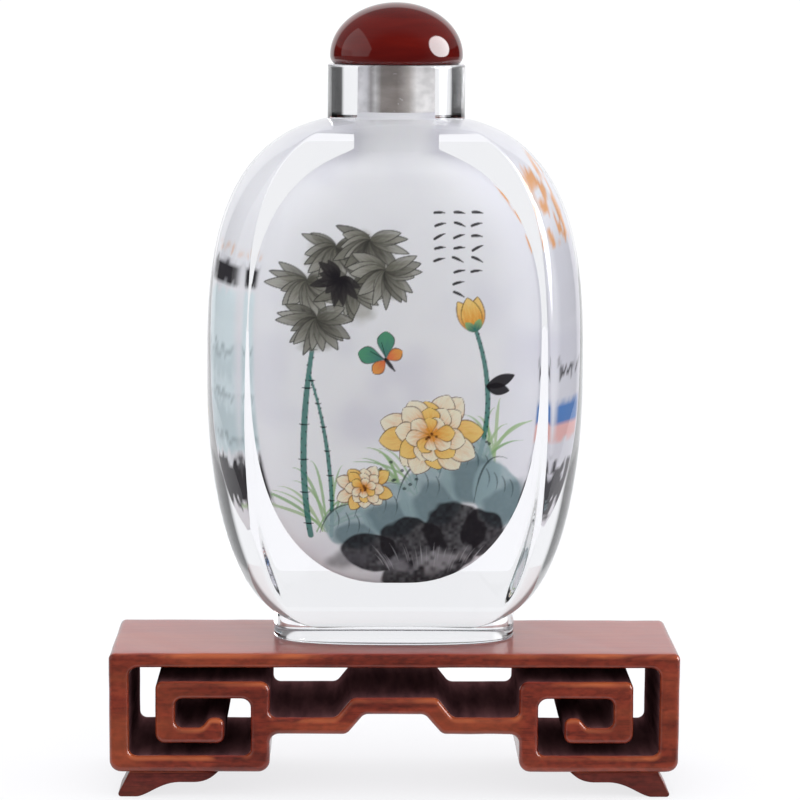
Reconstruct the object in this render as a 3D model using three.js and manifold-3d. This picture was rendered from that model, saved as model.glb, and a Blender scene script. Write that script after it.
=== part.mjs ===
// An inside-painted snuff bottle of clear crystal with a domed stone stopper, on its carved wood stand.
// Millimetres, +Z up, X across the front, -Y to the viewer. The origin is on the floor, under the
// middle of the whole object's box.

import * as THREE from "three";
import { mergeVertices } from "three/addons/utils/BufferGeometryUtils.js";
import Module from "manifold-3d";

const wasm = await Module();
wasm.setup();

// ---- Driving dimensions ----

// Stand: a fret block, one outline carried through the whole depth, on four bracket feet.
const standWidth = 84.5;
const standDepth = 24.6;
const standHeight = 21.8;
const footHeight = 3.85;
const fretHeight = standHeight - footHeight;
const fretEdge = 0.8; // rounding of the bars' front and back edges
const cornerSteps = 3; // arc steps round each corner of the fret
const footDepth = 7.5; // front to back, each bracket foot
const footInset = 0.6; // from the fret's front or back face
const footEdge = 0.2;

// Bottle: heights are measured up from the stand's top.
const bottleSetBack = 1.6; // the bottle stands a little behind the stand's middle
const bodyHalfWidth = 28.2;
const bodyHalfDepth = 13.5;
const bodyMiddle = 38; // height of the widest section
const bodyBottom = 1.7; // where the body's curve would close, inside the foot
const bodyTop = 78.9; // where it would close, inside the neck
const bodyCutLow = 2.4;
const bodyCutHigh = 78.5;
const panelShare = 0.795; // the flat panel's share of the body's width
const panelFadeFrom = 76.5; // above this the panel's edge softens into the shoulder
const panelFadeTo = 78.5;
// Each profile curve: the height where it closes, and its powers along the height and across it.
const bodyWidthLow = [bodyBottom, 1.9, 4.8];
const bodyWidthHigh = [bodyTop, 3.1, 2.9];
const bodyDepthLow = [bodyBottom, 8, 3];
const bodyDepthHigh = [bodyTop, 28, 4.6];

const rimHalfWidth = 18.2; // foot rim under the body
const rimHalfDepth = 8.3;
const rimHeight = 5.2;
const rimSquareness = 2.7;
const rimEdge = 0.35;

const neckRadius = 10.2;
const neckBottom = 75.5;
const mouthHeight = 86.2;
const neckEdge = 0.35;

// Hollow: walls of about 6.5 mm at the sides and 3.5 mm behind the panels, on a thick base.
const hollowHalfWidth = 21.6;
const hollowHalfDepth = 9.9;
const hollowMiddle = 46;
const hollowBottom = 9.6;
const hollowTop = 73.5;
const hollowSquareness = 3;
const hollowWidthLow = [hollowBottom, 2.8, 2.6];
const hollowWidthHigh = [hollowTop, 2.4, 2.5];
const hollowDepthLow = [hollowBottom, 4, 2.2];
const hollowDepthHigh = [hollowTop, 4, 2.5];
const throatRadius = 6.2; // where the hollow gathers under the neck
const throatFrom = 63;
const throatTo = 71;
const boreRadius = 3.8;
const boreFrom = 75.6;
const boreTo = 78.6;

// Stopper: a polished dome with a plug under it that fits the bore.
const domeRadius = 9.85;
const domeShoulder = 1.3; // height of the dome's widest circle over the mouth
const domeRise = 7.8; // from there to its top
const domeSeatRadius = 8.9;
const plugRadius = 3.6;
const plugLength = 7.1;
const plugEdge = 0.4;

// ---- Places worked out from them ----

// The stand's front and the body's back bound the object, so both move until their box is centred.
const standY = -(bottleSetBack + bodyHalfDepth - standDepth / 2) / 2;
const bottleY = standY + bottleSetBack;

// ---- Materials ----

const crystal = new THREE.MeshStandardMaterial({
  color: 0xe6e8ee, roughness: 0.03, metalness: 0, transparent: true, opacity: 0.45,
});
const agate = new THREE.MeshStandardMaterial({ color: 0x6a1410, roughness: 0.08, metalness: 0 });
const plugPaste = new THREE.MeshStandardMaterial({ color: 0x8d857f, roughness: 0.7, metalness: 0 });
const rosewood = new THREE.MeshStandardMaterial({ color: 0x7a3626, roughness: 0.4, metalness: 0 });
const footWood = new THREE.MeshStandardMaterial({ color: 0x5c2a22, roughness: 0.5, metalness: 0 });

// ---- Solids and booleans ----

function toSolid(geometry) {
  const bare = geometry.clone();
  bare.deleteAttribute("normal");
  bare.deleteAttribute("uv");
  const merged = mergeVertices(bare, 1e-4);
  return new wasm.Manifold(new wasm.Mesh({
    numProp: 3,
    vertProperties: new Float32Array(merged.attributes.position.array),
    triVerts: new Uint32Array(merged.index.array),
  }));
}

function toGeometry(solid) {
  const mesh = solid.getMesh();
  const geometry = new THREE.BufferGeometry();
  geometry.setAttribute("position", new THREE.BufferAttribute(new Float32Array(mesh.vertProperties), 3));
  geometry.setIndex(new THREE.BufferAttribute(new Uint32Array(mesh.triVerts), 1));
  geometry.computeVertexNormals();
  return geometry;
}

// Skins a stack of level sections, each a ring of the same number of [x, y], and caps both ends.
function loft(heights, sectionAt) {
  const rings = heights.map((z) => sectionAt(z).map(([x, y]) => [x, y, z]));
  const count = rings[0].length;
  const positions = rings.flat(2);
  const index = [];
  for (let level = 0; level + 1 < rings.length; level += 1) {
    for (let i = 0; i < count; i += 1) {
      const j = (i + 1) % count;
      const a = level * count + i;
      const b = level * count + j;
      index.push(a, b, b + count, a, b + count, a + count);
    }
  }
  const last = (rings.length - 1) * count;
  for (const [base, middle, up] of [[0, heights[0], false], [last, heights.at(-1), true]]) {
    const centre = positions.length / 3;
    positions.push(0, 0, middle);
    for (let i = 0; i < count; i += 1) {
      const a = base + i;
      const b = base + (i + 1) % count;
      index.push(centre, up ? a : b, up ? b : a);
    }
  }
  const geometry = new THREE.BufferGeometry();
  geometry.setAttribute("position", new THREE.BufferAttribute(new Float32Array(positions), 3));
  geometry.setIndex(index);
  return geometry;
}

// Heights from low to high, closer together near both ends, where the curves turn fastest.
function easedHeights(low, high, count) {
  return Array.from({ length: count + 1 }, (_, i) => (
    low + (high - low) * (1 - Math.cos((Math.PI * i) / count)) / 2
  ));
}

// ---- Bottle ----

// 1 at the middle height, falling to 0 at both ends along superellipses.
function bulge(z, middle, lowCurve, highCurve) {
  const [end, along, across] = z < middle ? lowCurve : highCurve;
  const t = Math.min(1, Math.abs(z - middle) / Math.abs(end - middle));
  return (1 - t ** along) ** (1 / across);
}

function bodyWidthAt(z) {
  return bodyHalfWidth * bulge(z, bodyMiddle, bodyWidthLow, bodyWidthHigh);
}

function bodyDepthAt(z) {
  return bodyHalfDepth * bulge(z, bodyMiddle, bodyDepthLow, bodyDepthHigh);
}

// Half depth of the body at x: a flat panel, then a round side that meets it at an edge.
function bodySurfaceAt(x, z) {
  const width = bodyWidthAt(z);
  const depth = bodyDepthAt(z);
  const panel = panelShare * width;
  const rise = width - panel;
  const sideRadius = (depth ** 2 + rise ** 2) / (2 * rise);
  const fromCentre = x - (width - sideRadius);
  const side = Math.sqrt(Math.max(0, sideRadius ** 2 - fromCentre ** 2));
  const panelled = x <= panel ? depth : side;
  const plain = depth * Math.sqrt(Math.max(0, 1 - (x / width) ** 2));
  return THREE.MathUtils.lerp(panelled, plain, THREE.MathUtils.smoothstep(z, panelFadeFrom, panelFadeTo));
}

// Mirrors a quarter, given as [x, y] from the side (y = 0) to the middle (x = 0), into a whole ring.
function ringFromQuarter(quarter) {
  const inner = quarter.slice(1, -1);
  const flip = (points, sx, sy) => points.map(([x, y]) => [sx * x, sy * y]);
  return [
    ...quarter, ...flip(inner, -1, 1).reverse(), ...flip([quarter[0]], -1, 1),
    ...flip(inner, -1, -1), ...flip([quarter.at(-1)], 1, -1), ...flip(inner, 1, -1).reverse(),
  ];
}

function bodySectionAt(z) {
  const sideSteps = 7;
  const panelSteps = 4;
  const edgeAngle = Math.acos(panelShare);
  const angles = [];
  for (let i = 0; i < sideSteps; i += 1) angles.push((edgeAngle * i) / sideSteps);
  for (let i = 0; i <= panelSteps; i += 1) {
    angles.push(edgeAngle + ((Math.PI / 2 - edgeAngle) * i) / panelSteps);
  }
  const width = bodyWidthAt(z);
  return ringFromQuarter(angles.map((angle, i) => {
    const x = i === angles.length - 1 ? 0 : width * Math.cos(angle);
    return [x, i === 0 ? 0 : bodySurfaceAt(x, z)];
  }));
}

function superellipseRing(halfWidth, halfDepth, squareness, steps) {
  const power = 2 / squareness;
  const quarter = Array.from({ length: steps + 1 }, (_, i) => {
    const angle = (Math.PI / 2) * (i / steps);
    const x = i === steps ? 0 : halfWidth * Math.cos(angle) ** power;
    return [x, i === 0 ? 0 : halfDepth * Math.sin(angle) ** power];
  });
  return ringFromQuarter(quarter);
}

function hollowSectionAt(z) {
  const width = bulge(z, hollowMiddle, hollowWidthLow, hollowWidthHigh);
  const depth = bulge(z, hollowMiddle, hollowDepthLow, hollowDepthHigh);
  const gather = THREE.MathUtils.smoothstep(z, throatFrom, throatTo);
  const narrow = THREE.MathUtils.smoothstep(z, boreFrom, boreTo);
  const tube = gather * THREE.MathUtils.lerp(throatRadius, boreRadius, narrow);
  const blend = (a, b) => (a ** 4 + b ** 4) ** (1 / 4);
  const rounding = THREE.MathUtils.smoothstep(z, throatTo, boreFrom);
  const squareness = THREE.MathUtils.lerp(hollowSquareness, 2, rounding);
  return superellipseRing(
    blend(hollowHalfWidth * width, tube), blend(hollowHalfDepth * depth, tube), squareness, 9,
  );
}

function makeBottle() {
  const body = toSolid(loft(easedHeights(bodyCutLow, bodyCutHigh, 30), bodySectionAt));

  const rimSteps = [[0, rimEdge], [rimEdge * 0.3, rimEdge * 0.3], [rimEdge, 0], [rimHeight, 0]];
  const rimAt = new Map(rimSteps);
  const rim = toSolid(loft([...rimAt.keys()], (z) => (
    superellipseRing(rimHalfWidth - rimAt.get(z), rimHalfDepth - rimAt.get(z), rimSquareness, 10)
  )));

  const neck = toSolid(new THREE.LatheGeometry([
    new THREE.Vector2(0, neckBottom),
    new THREE.Vector2(neckRadius - 2, neckBottom),
    new THREE.Vector2(neckRadius, neckBottom + 2),
    new THREE.Vector2(neckRadius, mouthHeight - neckEdge),
    new THREE.Vector2(neckRadius - neckEdge * 0.3, mouthHeight - neckEdge * 0.3),
    new THREE.Vector2(neckRadius - neckEdge, mouthHeight),
    new THREE.Vector2(0, mouthHeight),
  ], 40).rotateX(Math.PI / 2));

  const hollowHeights = [
    ...easedHeights(hollowBottom + 0.05, boreTo, 26), mouthHeight + 1,
  ];
  const hollow = toSolid(loft(hollowHeights, hollowSectionAt));

  const solid = body.add(rim).add(neck).subtract(hollow);
  const mesh = new THREE.Mesh(toGeometry(solid), crystal);
  mesh.name = "bottle";
  mesh.position.set(0, bottleY, standHeight);
  return mesh;
}

// ---- Stopper ----

function makeDome() {
  const profile = [new THREE.Vector2(0, 0)];
  const lowSteps = 3;
  for (let i = 0; i <= lowSteps; i += 1) {
    const angle = (Math.PI / 2) * (i / lowSteps);
    const x = domeSeatRadius + (domeRadius - domeSeatRadius) * Math.sin(angle);
    profile.push(new THREE.Vector2(x, domeShoulder * (1 - Math.cos(angle))));
  }
  const highSteps = 11;
  for (let i = 1; i <= highSteps; i += 1) {
    const angle = (Math.PI / 2) * (i / highSteps);
    const x = i === highSteps ? 0 : domeRadius * Math.cos(angle);
    profile.push(new THREE.Vector2(x, domeShoulder + domeRise * Math.sin(angle)));
  }
  const mesh = new THREE.Mesh(new THREE.LatheGeometry(profile, 40).rotateX(Math.PI / 2), agate);
  mesh.name = "stopper_dome";
  mesh.position.set(0, bottleY, standHeight + mouthHeight);
  return mesh;
}

function makePlug() {
  const mesh = new THREE.Mesh(new THREE.LatheGeometry([
    new THREE.Vector2(0, -plugLength),
    new THREE.Vector2(plugRadius - plugEdge, -plugLength),
    new THREE.Vector2(plugRadius, plugEdge - plugLength),
    new THREE.Vector2(plugRadius, 0),
    new THREE.Vector2(0, 0),
  ], 32).rotateX(Math.PI / 2), plugPaste);
  mesh.name = "stopper_plug";
  mesh.position.set(0, bottleY, standHeight + mouthHeight);
  return mesh;
}

// ---- Stand ----

// A closed outline through corners given as [x, z, radius], each corner turned in a few arc steps.
function roundedOutline(corners) {
  const count = corners.length;
  return corners.flatMap(([x, z, radius], i) => {
    const here = new THREE.Vector2(x, z);
    const before = new THREE.Vector2(...corners[(i + count - 1) % count].slice(0, 2));
    const after = new THREE.Vector2(...corners[(i + 1) % count].slice(0, 2));
    const back = before.sub(here).normalize();
    const ahead = after.sub(here).normalize();
    const half = Math.acos(back.dot(ahead)) / 2;
    const centre = here.clone().addScaledVector(back.clone().add(ahead).normalize(), radius / Math.sin(half));
    const enter = here.clone().addScaledVector(back, radius / Math.tan(half)).sub(centre);
    const turn = (Math.PI - 2 * half) * Math.sign(ahead.cross(back));
    return Array.from({ length: cornerSteps + 1 }, (_, step) => (
      enter.clone().rotateAround(new THREE.Vector2(), (turn * step) / cornerSteps).add(centre)
    ));
  });
}

// The right half of an outline from the middle line on, completed by its mirror image.
function mirrored(half) {
  return [...half, ...half.map(([x, z, radius]) => [-x, z, radius]).reverse()];
}

// Carries a shape drawn in X and Z through a depth, with its front and back edges rounded over.
function carveThrough(shape, depth, edge, edgeSteps) {
  return new THREE.ExtrudeGeometry(shape, {
    depth: depth - 2 * edge,
    curveSegments: 3,
    bevelEnabled: true,
    bevelThickness: edge,
    bevelSize: edge,
    bevelOffset: -edge,
    bevelSegments: edgeSteps,
  }).translate(0, 0, edge - depth / 2).rotateX(Math.PI / 2);
}

function makeFret() {
  const end = standWidth / 2;
  const round = 1.7; // corner radii
  const soft = 1.4;
  const tight = 1.1;
  const crisp = 0.95;
  // Outer outline: along the top, down the end, in under the scroll and up along the rail's arch.
  const outside = mirrored([
    [end, fretHeight, crisp], [end, 0, round], [18.5, 0, round], [18.5, 5.75, soft],
    [7.1, 5.75, soft], [4.5, 8.75, soft],
  ]);
  // The one opening, which winds round each scroll and runs between the board and the rail.
  const opening = mirrored([
    [39.3, 15.8, soft], [39.3, 2.45, tight], [21.3, 2.45, tight], [21.3, 11.1, soft], [32.5, 11.1, tight],
    [32.5, 6.7, tight], [28.6, 6.7, tight], [27.4, 8.2, tight], [25.2, 8.2, tight], [25.2, 4.35, tight],
    [35.4, 4.35, soft], [35.4, 13.7, tight], [18.5, 13.7, soft], [18.5, 8.25, tight],
    [8.7, 8.25, soft], [6.3, 11.25, soft],
  ]);
  const shape = new THREE.Shape(roundedOutline(outside));
  shape.holes.push(new THREE.Path(roundedOutline(opening).reverse())); // holes run the other way round
  const mesh = new THREE.Mesh(carveThrough(shape, standDepth, fretEdge, 2), rosewood);
  mesh.name = "stand";
  mesh.position.set(0, standY, footHeight);
  return mesh;
}

// One bracket foot: an ogee under the scroll that flares to a toe at the outer end.
function makeBracketFoot(side, front) {
  const shape = new THREE.Shape();
  shape.moveTo(39.3, footHeight);
  shape.lineTo(41, 0.5);
  shape.quadraticCurveTo(41, 0, 40.5, 0);
  shape.lineTo(38.2, 0);
  shape.bezierCurveTo(36.4, 0.3, 34.8, 2.1, 32, 2.2);
  shape.lineTo(29.6, 2.2);
  shape.bezierCurveTo(27.8, 2.3, 27, 3, 26.1, footHeight);
  const geometry = carveThrough(shape, footDepth, footEdge, 1);
  if (side < 0) geometry.rotateZ(Math.PI);
  const mesh = new THREE.Mesh(geometry, footWood);
  mesh.name = `stand_foot_${front > 0 ? "front" : "back"}_${side > 0 ? "right" : "left"}`;
  mesh.position.set(0, standY - front * (standDepth / 2 - footInset - footDepth / 2), 0);
  return mesh;
}

const object = new THREE.Group();
object.add(makeBottle(), makeDome(), makePlug(), makeFret());
for (const front of [1, -1]) {
  for (const side of [-1, 1]) object.add(makeBracketFoot(side, front));
}

export default object;
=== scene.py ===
"""Looks of the crystal snuff bottle on its carved stand: glass, frosted hollow, painting, agate and wood.

Lengths here are in millimetres, like the part's own dimensions, and go through MM into the scene.
Heights on the bottle are measured up from the stand's top, where it stands.
"""
import math

import bmesh
import bpy
import numpy as np
from mathutils import Matrix, Vector
from mathutils.geometry import tessellate_polygon


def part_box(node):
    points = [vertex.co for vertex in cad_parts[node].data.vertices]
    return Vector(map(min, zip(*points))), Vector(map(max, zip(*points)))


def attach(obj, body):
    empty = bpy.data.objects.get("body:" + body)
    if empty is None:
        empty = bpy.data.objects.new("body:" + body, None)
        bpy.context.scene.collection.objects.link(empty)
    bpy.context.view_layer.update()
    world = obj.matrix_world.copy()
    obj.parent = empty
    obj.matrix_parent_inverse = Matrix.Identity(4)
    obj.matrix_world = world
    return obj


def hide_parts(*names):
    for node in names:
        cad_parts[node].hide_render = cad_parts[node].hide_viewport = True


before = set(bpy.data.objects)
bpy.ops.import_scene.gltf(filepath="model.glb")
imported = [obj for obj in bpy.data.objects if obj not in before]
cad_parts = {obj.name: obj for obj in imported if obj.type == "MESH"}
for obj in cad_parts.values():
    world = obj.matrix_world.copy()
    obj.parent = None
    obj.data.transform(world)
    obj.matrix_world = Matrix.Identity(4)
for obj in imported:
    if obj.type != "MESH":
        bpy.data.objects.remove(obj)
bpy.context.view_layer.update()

MM = 0.001

# ---- Places, from the frame ----

def foot_of(node):
    """The point under the middle of a CAD node, at its lowest height."""
    low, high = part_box(node)
    return Vector(((low.x + high.x) / 2, (low.y + high.y) / 2, low.z))


bottle_foot = foot_of("bottle")
stand_middle = foot_of("stand")

# ---- Dimensions, in millimetres ----

BODY_HALF_WIDTH = 28.2
BODY_HALF_DEPTH = 13.5
BODY_MIDDLE = 38.0
BODY_BOTTOM = 1.7
BODY_TOP = 78.9
BODY_CUT_LOW = 2.4
BODY_CUT_HIGH = 78.5
PANEL_SHARE = 0.795
PANEL_FADE_FROM = 76.5
PANEL_FADE_TO = 78.5
PANEL_EDGE_SHARPNESS = 60.0

RIM_HALF_WIDTH = 18.2
RIM_HALF_DEPTH = 8.3
RIM_HEIGHT = 5.2
RIM_SQUARENESS = 2.7
RIM_EDGE = 0.4

NECK_RADIUS = 10.2
NECK_BOTTOM = 75.5
MOUTH_HEIGHT = 86.2
NECK_EDGE = 0.35

HOLLOW_HALF_WIDTH = 21.6
HOLLOW_HALF_DEPTH = 9.9
HOLLOW_MIDDLE = 46.0
HOLLOW_BOTTOM = 9.6
HOLLOW_TOP = 73.5
HOLLOW_SQUARENESS = 3.0
THROAT_RADIUS = 6.2
THROAT_FROM = 63.0
THROAT_TO = 71.0
BORE_RADIUS = 3.8
BORE_FROM = 75.6
BORE_TO = 78.6
PLUG_BOTTOM = 79.1
PLUG_EDGE = 0.12
PLUG_OVERLAP = 0.18  # the frosted wall runs up past the plug's bottom by this much
MOUTH_GAP = 0.02  # between the plug's top and the dome
GROUND_EDGE = 0.5  # how far the ground ring on the mouth stays inside the neck's edge

COAT = 0.04  # how far the frosted wall lies into the glass, which wets it
PAINT_PROUD = 0.03  # the painted strips lie this much further into the glass
PAINT_TOP = 72.0
PAINT_ROWS = 500
PAINT_COLUMNS = 165
PAINT_REACH = 0.95  # share of the hollow's half width

DOME_RADIUS = 9.85
DOME_SHOULDER = 1.3
DOME_RISE = 7.8
DOME_SEAT_RADIUS = 8.9

FRET_HALF_WIDTH = 42.25
FRET_HEIGHT = 17.95
FRET_HALF_DEPTH = 12.3
FRET_EDGE = 0.8
FOOT_HEIGHT = 3.85
FOOT_EDGE = 0.2
EDGE_STEPS = 5
CORNER_STEPS = 7
HOLDING = 0.1  # a flat margin behind each rounded edge

FLOOR_RADIUS = 300.0
FLOOR_BACK = 272.0  # its middle lies this far behind the object, so its rim passes just in front of the feet
GLASS_LIFT = 0.04  # air under the glass foot rim, which touches the wood at few points


def smoothstep(x, low, high):
    t = np.clip((np.asarray(x, float) - low) / (high - low), 0, 1)
    return t * t * (3 - 2 * t)


def mix(a, b, t):
    a, b = np.asarray(a, float), np.asarray(b, float)
    return a + (b - a) * t


# ---- Meshes ----

def new_object(name, points, faces, origin):
    """A smooth mesh object in the row frame, from points in millimetres over an origin in metres."""
    mesh = bpy.data.meshes.new(name)
    mesh.from_pydata([tuple(v) for v in points * MM + np.array(origin)], [], [tuple(f) for f in faces])
    mesh.validate()
    mesh.shade_smooth()
    piece = bpy.data.objects.new(name, mesh)
    bpy.context.scene.collection.objects.link(piece)
    return piece


def grid_faces(rows, columns, closed):
    """Quads of a grid of vertices, row after row; closed joins the last column to the first."""
    last = columns if closed else columns - 1
    row, column = np.meshgrid(np.arange(rows - 1), np.arange(last), indexing="ij")
    following = (column + 1) % columns
    quads = [row * columns + column, row * columns + following,
             (row + 1) * columns + following, (row + 1) * columns + column]
    return np.stack(quads, axis=-1).reshape(-1, 4)


def circles(profile, steps):
    """Level rings about +Z, one for each (radius, height) of a profile."""
    turn = np.arange(steps) * 2 * math.pi / steps
    radius, height = np.array(profile, float).T[:, :, None]
    return np.stack([radius * np.cos(turn), radius * np.sin(turn), height + 0 * turn], axis=-1)


def loft(name, rings, origin, capped=True):
    """Skins rings, an array (levels, points, 3), with flat ends where capped."""
    levels, points = rings.shape[:2]
    faces = list(grid_faces(levels, points, closed=True))
    if capped:
        faces.append(range(points)[::-1])
        faces.append(range((levels - 1) * points, levels * points))
    return new_object(name, rings.reshape(-1, 3), faces, origin)


def lathe(name, profile, origin, steps=160):
    """Turns a profile of (radius, height) about +Z. Both ends are on the axis."""
    rings = circles(profile[1:-1], steps)
    points = np.concatenate([rings.reshape(-1, 3), [[0, 0, profile[0][1]], [0, 0, profile[-1][1]]]])
    faces = list(grid_faces(len(rings), steps, closed=True))
    low, high, top = len(points) - 2, len(points) - 1, (len(rings) - 1) * steps
    faces += [(low, (i + 1) % steps, i) for i in range(steps)]
    faces += [(high, top + i, top + (i + 1) % steps) for i in range(steps)]
    return new_object(name, points, faces, origin)


def combine(target, tool, operation):
    """Applies an exact boolean of tool to target and removes tool."""
    step = target.modifiers.new(operation, "BOOLEAN")
    step.operation = operation
    step.solver = "EXACT"
    step.object = tool
    depsgraph = bpy.context.evaluated_depsgraph_get()
    mesh = bpy.data.meshes.new_from_object(target.evaluated_get(depsgraph))
    target.modifiers.clear()
    target.data = mesh
    bpy.data.objects.remove(tool)


def sharpen(piece, degrees):
    """Marks edges that turn by more than this as sharp, and shades the rest smooth."""
    piece.data.shade_smooth()
    piece.data.set_sharp_from_angle(angle=math.radians(degrees))


# ---- The bottle's form ----

def bulge(z, middle, end, along, across):
    t = np.minimum(1, np.abs(z - middle) / abs(end - middle))
    return (1 - t ** along) ** (1 / across)


def two_bulges(z, middle, low, high):
    """1 at the middle, falling to 0 at the ends; low and high are (end, along, across)."""
    z = np.asarray(z, float)
    return np.where(z < middle, bulge(z, middle, *low), bulge(z, middle, *high))


def body_width_at(z):
    return BODY_HALF_WIDTH * two_bulges(z, BODY_MIDDLE, (BODY_BOTTOM, 1.9, 4.8), (BODY_TOP, 3.1, 2.9))


def body_depth_at(z):
    return BODY_HALF_DEPTH * two_bulges(z, BODY_MIDDLE, (BODY_BOTTOM, 8, 3), (BODY_TOP, 28, 4.6))


def body_surface_at(x, z):
    """Half depth of the body: a flat panel whose softened edge meets a round side."""
    width, depth = body_width_at(z), body_depth_at(z)
    rise = width * (1 - PANEL_SHARE)
    side_radius = (depth ** 2 + rise ** 2) / (2 * rise)
    side = np.sqrt(np.maximum(1e-9, side_radius ** 2 - (x - width + side_radius) ** 2))
    power = PANEL_EDGE_SHARPNESS
    panelled = depth * (1 + (depth / side) ** power) ** (-1 / power)
    plain = depth * np.sqrt(np.maximum(0, 1 - (x / width) ** 2))
    return mix(panelled, plain, smoothstep(z, PANEL_FADE_FROM, PANEL_FADE_TO))


def hollow_size_at(z):
    """Half width, half depth and squareness of the hollow's section."""
    width = two_bulges(z, HOLLOW_MIDDLE, (HOLLOW_BOTTOM, 2.8, 2.6), (HOLLOW_TOP, 2.4, 2.5))
    depth = two_bulges(z, HOLLOW_MIDDLE, (HOLLOW_BOTTOM, 4, 2.2), (HOLLOW_TOP, 4, 2.5))
    narrow = mix(THROAT_RADIUS, BORE_RADIUS, smoothstep(z, BORE_FROM, BORE_TO))
    tube = smoothstep(z, THROAT_FROM, THROAT_TO) * narrow
    squareness = mix(HOLLOW_SQUARENESS, 2.0, smoothstep(z, THROAT_TO, BORE_FROM))
    return (
        ((HOLLOW_HALF_WIDTH * width) ** 4 + tube ** 4) ** 0.25,
        ((HOLLOW_HALF_DEPTH * depth) ** 4 + tube ** 4) ** 0.25,
        squareness,
    )


def hollow_wall_at(x, z, out):
    """Half depth at x of a coat on the hollow's wall, that far out into the glass."""
    width, depth, squareness = hollow_size_at(z)
    share = np.minimum(1, np.abs(x) / (width + out))
    return (depth + out) * (1 - share ** squareness) ** (1 / squareness)


def eased(low, high, count):
    return low + (high - low) * (1 - np.cos(np.linspace(0, math.pi, count))) / 2


def level_ring(quarter, z):
    """Mirrors a quarter, from the side (y = 0) to the middle (x = 0), into a whole ring at one height."""
    x, y = quarter
    xs = np.concatenate([x, -x[-2::-1], -x[1:], x[-2:0:-1]])
    ys = np.concatenate([y, y[-2::-1], -y[1:], -y[-2:0:-1]])
    return np.stack([xs, ys, np.full_like(xs, z)], axis=-1)


def body_rings():
    edge = math.acos(PANEL_SHARE)
    angles = np.unique(np.concatenate([
        np.linspace(0, edge, 22), np.linspace(edge * 0.9, edge * 1.1, 13), np.linspace(edge, math.pi / 2, 18),
    ]).round(6))
    rings = []
    for z in eased(BODY_CUT_LOW, BODY_CUT_HIGH, 150):
        x = body_width_at(z) * np.cos(angles)
        y = body_surface_at(x, z)
        x[-1], y[0] = 0, 0
        rings.append(level_ring((x, y), z))
    return np.array(rings)


def even_superellipse(half_width, half_depth, squareness, count):
    """A quarter superellipse, from the side to the middle, in steps of the same length."""
    t = np.linspace(0, math.pi / 2, 1500)
    x = half_width * np.cos(t) ** (2 / squareness)
    y = half_depth * np.sin(t) ** (2 / squareness)
    x[-1], y[0] = 0, 0
    along = np.concatenate([[0], np.cumsum(np.hypot(np.diff(x), np.diff(y)))])
    even = np.linspace(0, along[-1], count)
    return np.interp(even, along, x), np.interp(even, along, y)


def coat_lift_at(z, out):
    """How far a coat that lies out into the glass moves up or down, where the wall slopes."""
    step = 0.01
    slope = (hollow_size_at(z + step)[0] - hollow_size_at(z - step)[0]) / (2 * step)
    return -out * slope / np.sqrt(1 + slope ** 2)


def hollow_rings(heights, out=0.0):
    rings = []
    for z in heights:
        width, depth, squareness = hollow_size_at(z)
        quarter = even_superellipse(width + out, depth + out, squareness, 50)
        rings.append(level_ring(quarter, z + coat_lift_at(z, out)))
    return np.array(rings)


def hollow_heights(top):
    shoulder = np.linspace(HOLLOW_TOP - 5, HOLLOW_TOP + 0.2, 60)
    body = eased(HOLLOW_BOTTOM + 0.003, BORE_TO, 150)
    return np.unique(np.concatenate([body, shoulder, [top]]).round(4))


def make_glass():
    glass = loft("bottle_glass", body_rings(), bottle_foot)

    edge = np.linspace(0, math.pi / 2, 5)
    inset = np.concatenate([RIM_EDGE * (1 - np.sin(edge)), [0, 0]])
    heights = np.concatenate([RIM_EDGE * (1 - np.cos(edge)), [RIM_EDGE + HOLDING, RIM_HEIGHT]])
    rim = np.array([
        level_ring(even_superellipse(RIM_HALF_WIDTH - back, RIM_HALF_DEPTH - back, RIM_SQUARENESS, 40), z)
        for z, back in zip(heights, inset)
    ])
    combine(glass, loft("rim", rim, bottle_foot), "UNION")

    turn = np.linspace(0, math.pi / 2, 6)
    profile = [(0, NECK_BOTTOM), (NECK_RADIUS - 2, NECK_BOTTOM), (NECK_RADIUS, NECK_BOTTOM + 2),
               (NECK_RADIUS, MOUTH_HEIGHT - NECK_EDGE - HOLDING)]
    profile += [(NECK_RADIUS - NECK_EDGE * (1 - math.cos(a)), MOUTH_HEIGHT - NECK_EDGE * (1 - math.sin(a)))
                for a in turn]
    profile += [(0, MOUTH_HEIGHT)]
    combine(glass, lathe("neck", profile, bottle_foot), "UNION")

    hollow = loft("hollow", hollow_rings(hollow_heights(MOUTH_HEIGHT + 1)), bottle_foot)
    combine(glass, hollow, "DIFFERENCE")
    sharpen(glass, 35)
    glass.data.transform(Matrix.Translation((0, 0, GLASS_LIFT * MM)))
    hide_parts("bottle")
    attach(glass, "root")
    return glass


def make_frosted_wall():
    """The hollow's ground wall, as a thin closed coat that ends just over the plug's lower edge."""
    heights = hollow_heights(PLUG_BOTTOM + PLUG_OVERLAP)
    skins = np.stack([hollow_rings(heights, COAT), hollow_rings(heights, -COAT / 2)])
    levels, points = skins.shape[1:3]
    places = skins.reshape(-1, 3)
    skin = grid_faces(levels, points, closed=True)
    inner, top = levels * points, (levels - 1) * points
    faces = [*skin, *(skin[:, ::-1] + inner), range(points)[::-1], range(inner, inner + points)]
    for i in range(points):
        j = (i + 1) % points
        faces.append((top + i, top + j, inner + top + j, inner + top + i))
    wall = new_object("frosted_wall", places, faces, bottle_foot)
    store_paint(wall, wall_colour(*places.T))
    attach(wall, "root")
    return wall


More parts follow.
